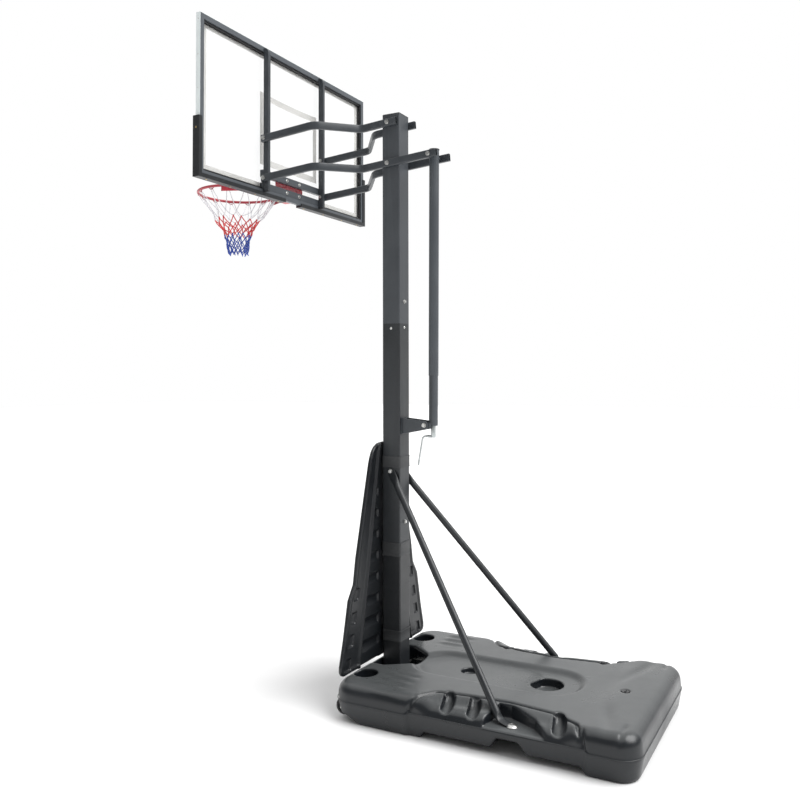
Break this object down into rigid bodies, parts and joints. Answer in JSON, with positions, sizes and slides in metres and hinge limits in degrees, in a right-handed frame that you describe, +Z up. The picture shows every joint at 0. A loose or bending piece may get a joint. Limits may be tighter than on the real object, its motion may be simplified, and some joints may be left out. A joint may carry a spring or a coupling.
{
  "type": "portable basketball hoop",
  "caption": "Wheeled water-filled base with a braced square pole, crank-raised backboard on parallel arms, spring-release rim and cord net.",
  "frame": {"origin": "centre line of the square pole, on the floor under the base", "axes": "+Z up, -Y towards the playing side (rim), +Y towards the rear of the base, +X to the player's left of the board seen from the court"},
  "size_m": [1.55, 2.733, 3.4825],
  "materials": {
    "base_plastic": "blow-moulded polyethylene, fine satin grain",
    "shield_plastic": "blow-moulded polyethylene, satin",
    "strap_plastic": "smooth moulded nylon",
    "black_plastic": "smooth moulded",
    "wheel": "solid moulded wheel",
    "frame_steel": "charcoal powder coat, fine orange peel",
    "zinc": "zinc plated",
    "brass": "plain",
    "crank": "zinc plated rod",
    "panel": "clear panel with printed white border and target lines",
    "trim": "satin anodised",
    "pad": "moulded soft edge pad",
    "rim_paint": "dark red powder coat",
    "net": "knotted white, red and blue cord"
  },
  "bodies": {
    "stand": {"base_tank": "base_plastic", "wheel_axles": "zinc", "strut_left": "frame_steel", "strut_right": "frame_steel", "strut_top_bolt": "zinc", "strut_foot_bolts": "zinc", "pole_lower": "frame_steel", "pole_middle": "frame_steel", "pole_upper": "frame_steel", "pole_cap": "black_plastic", "pole_bolts": "zinc", "pole_foot_pin": "zinc", "pole_shield": "shield_plastic", "shield_straps": "strap_plastic", "jack_bracket": "frame_steel", "bracket_bolts": "zinc", "jack_foot_bolt": "zinc", "arm_pivot_bolts": "zinc", "arm_washers": "zinc"},
    "lower_arms": {"lower_arm_left": "frame_steel", "lower_arm_right": "frame_steel"},
    "upper_arms": {"upper_arm_left": "frame_steel", "upper_arm_right": "frame_steel"},
    "board": {"board_panel": "panel", "frame_top": "frame_steel", "frame_bottom": "frame_steel", "frame_left": "frame_steel", "frame_right": "frame_steel", "board_trim": "trim", "support_left": "frame_steel", "support_right": "frame_steel", "support_plugs": "black_plastic", "rail_upper": "frame_steel", "rail_lower": "frame_steel", "board_pivot_bolts": "zinc", "pad_left": "pad", "pad_right": "pad", "pad_rivets": "brass", "rim_mount": "rim_paint", "rim_bolts": "zinc", "rim_hinge_pin": "zinc", "rim_springs": "zinc"},
    "rim": {"rim_frame": "rim_paint", "net_hooks": "rim_paint", "net": "net"},
    "jack_lower": {"jack_inner_tube": "frame_steel", "jack_bearing": "zinc"},
    "jack_upper": {"jack_outer_tube": "frame_steel", "jack_cap": "black_plastic", "jack_nut": "brass", "jack_sleeve": "frame_steel", "jack_top_bolt": "zinc"},
    "crank": {"jack_screw": "zinc", "crank_handle": "crank"},
    "wheel_left": {"wheel_left": "wheel"},
    "wheel_right": {"wheel_right": "wheel"},
    "fill_plug": {"fill_plug": "black_plastic"}
  },
  "joints": [
    {"name": "lift", "type": "hinge", "parent": "stand", "child": "lower_arms", "pos_m": [0, -0.011, 2.796], "axis": [-1, 0, 0], "range_deg": [-28.6, 26]},
    {"name": "upper_arm_pivot", "type": "hinge", "parent": "stand", "child": "upper_arms", "pos_m": [0, -0.011, 3.016], "axis": [-1, 0, 0], "range_deg": [-28.6, 26]},
    {"name": "board_pivot", "type": "hinge", "parent": "lower_arms", "child": "board", "pos_m": [0, -0.66756, 2.74548], "axis": [-1, 0, 0], "range_deg": [-26, 28.6]},
    {"name": "jack_tilt", "type": "hinge", "parent": "stand", "child": "jack_lower", "pos_m": [0, 0.187, 1.4], "axis": [-1, 0, 0], "range_deg": [-0.55, 0.5]},
    {"name": "jack_travel", "type": "slide", "parent": "jack_lower", "child": "jack_upper", "axis": [0, 0.0073, 1], "range_m": [-0.1179, 0.1296]},
    {"name": "crank_turn", "type": "hinge", "parent": "jack_lower", "child": "crank", "pos_m": [0, 0.225, 1.39972], "axis": [0, 0.0073, 1], "range_deg": [-7751, 7047]},
    {"name": "rim_release", "type": "hinge", "parent": "board", "child": "rim", "pos_m": [0, -0.735, 2.749], "axis": [1, 0, 0], "range_deg": [0, 12], "stiffness_Nm_per_rad": 400, "springref_deg": -17.19, "deforming": ["rim_springs"]},
    {"name": "wheel_left_spin", "type": "hinge", "parent": "stand", "child": "wheel_left", "pos_m": [0.44, -0.038, 0.062], "axis": [1, 0, 0], "continuous": true},
    {"name": "wheel_right_spin", "type": "hinge", "parent": "stand", "child": "wheel_right", "pos_m": [-0.44, -0.038, 0.062], "axis": [1, 0, 0], "continuous": true},
    {"name": "fill_plug_pull", "type": "slide", "parent": "stand", "child": "fill_plug", "axis": [0, 0, 1], "range_m": [0, 0.04]}
  ],
  "couplings": [
    {"joint": "upper_arm_pivot", "follows": "lift", "ratio": 1},
    {"joint": "board_pivot", "follows": "lift", "ratio": -1},
    {"joint": "jack_tilt", "follows": "lift", "ratio": 0.01841},
    {"joint": "jack_travel", "follows": "lift", "m_per_rad": -0.25873},
    {"joint": "crank_turn", "follows": "lift", "ratio": 270.94}
  ]
}
